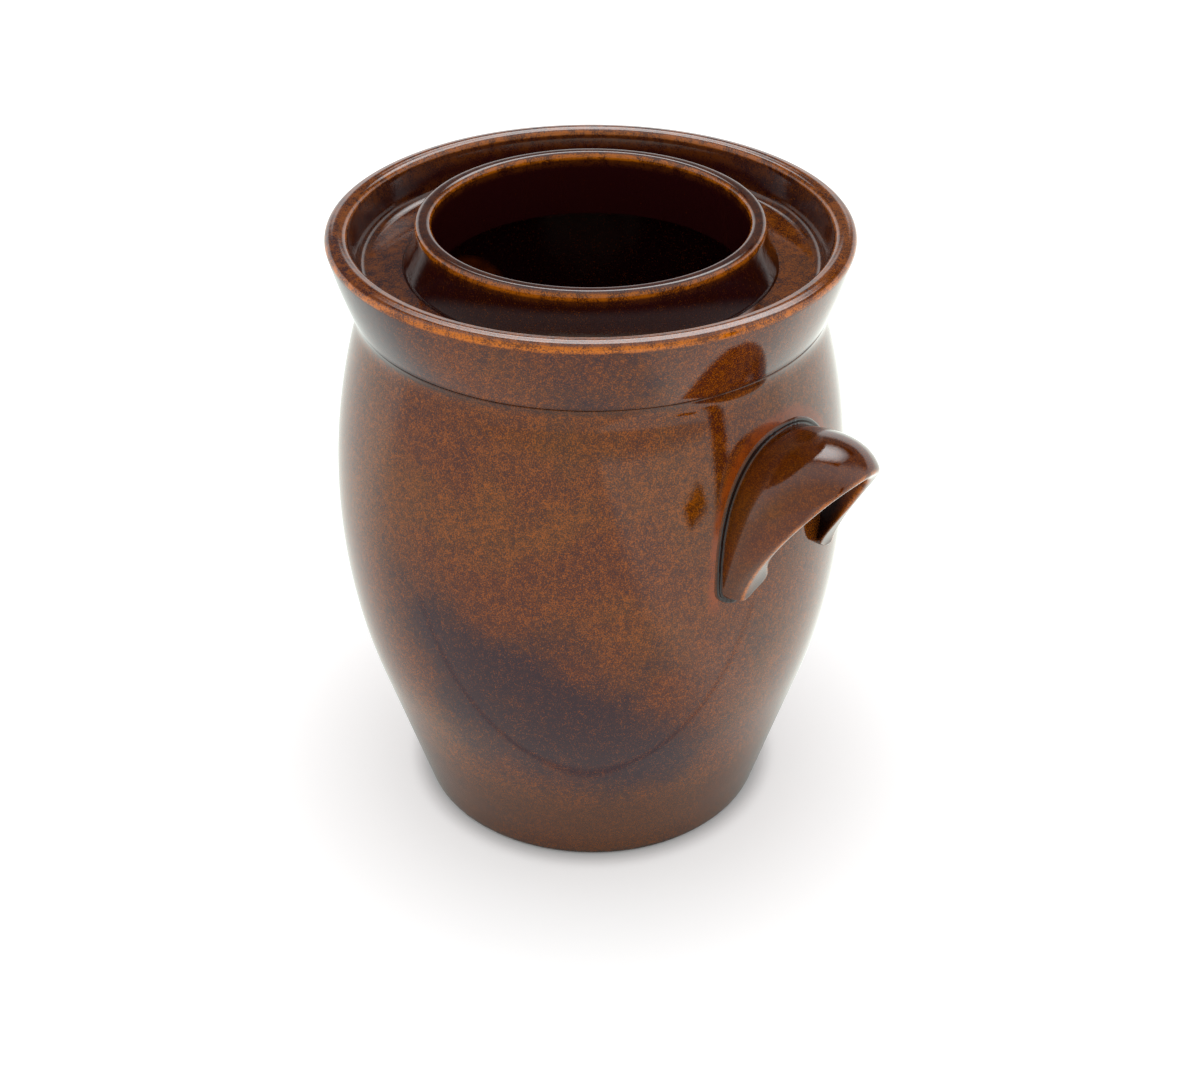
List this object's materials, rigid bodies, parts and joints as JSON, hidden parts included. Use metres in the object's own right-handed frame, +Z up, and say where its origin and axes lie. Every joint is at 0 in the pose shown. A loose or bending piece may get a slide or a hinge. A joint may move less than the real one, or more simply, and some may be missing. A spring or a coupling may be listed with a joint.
{
  "type": "water seal pickle jar",
  "caption": "Barrel-shaped glazed stoneware crock with a water gutter round its raised neck, ear handles on its sides and half-moon weight stones inside.",
  "frame": {"origin": "centre of the foot, on the plane the jar stands on", "axes": "+Z up along the jar's axis, X through the two handles, Y across them"},
  "size_m": [0.3304, 0.256, 0.3205],
  "materials": {
    "brown_glaze": "glossy brown stoneware glaze that breaks to orange on edges",
    "handle_glaze": "the same glaze, pooled darker in the luting grooves",
    "bare_stoneware": "unglazed fired stoneware, matt"
  },
  "bodies": {
    "crock": {"crock_body": "brown_glaze", "gutter_ring": "brown_glaze", "neck_ring": "brown_glaze", "handle_right": "handle_glaze", "handle_left": "handle_glaze"},
    "stone_right": {"weight_stone_right": "bare_stoneware"},
    "stone_left": {"weight_stone_left": "bare_stoneware"}
  },
  "joints": [
    {"name": "lift_stone_right", "type": "slide", "parent": "crock", "child": "stone_right", "axis": [0, 0, 1], "range_m": [0, 0.32]},
    {"name": "lift_stone_left", "type": "slide", "parent": "crock", "child": "stone_left", "axis": [0, 0, 1], "range_m": [0, 0.32]}
  ]
}
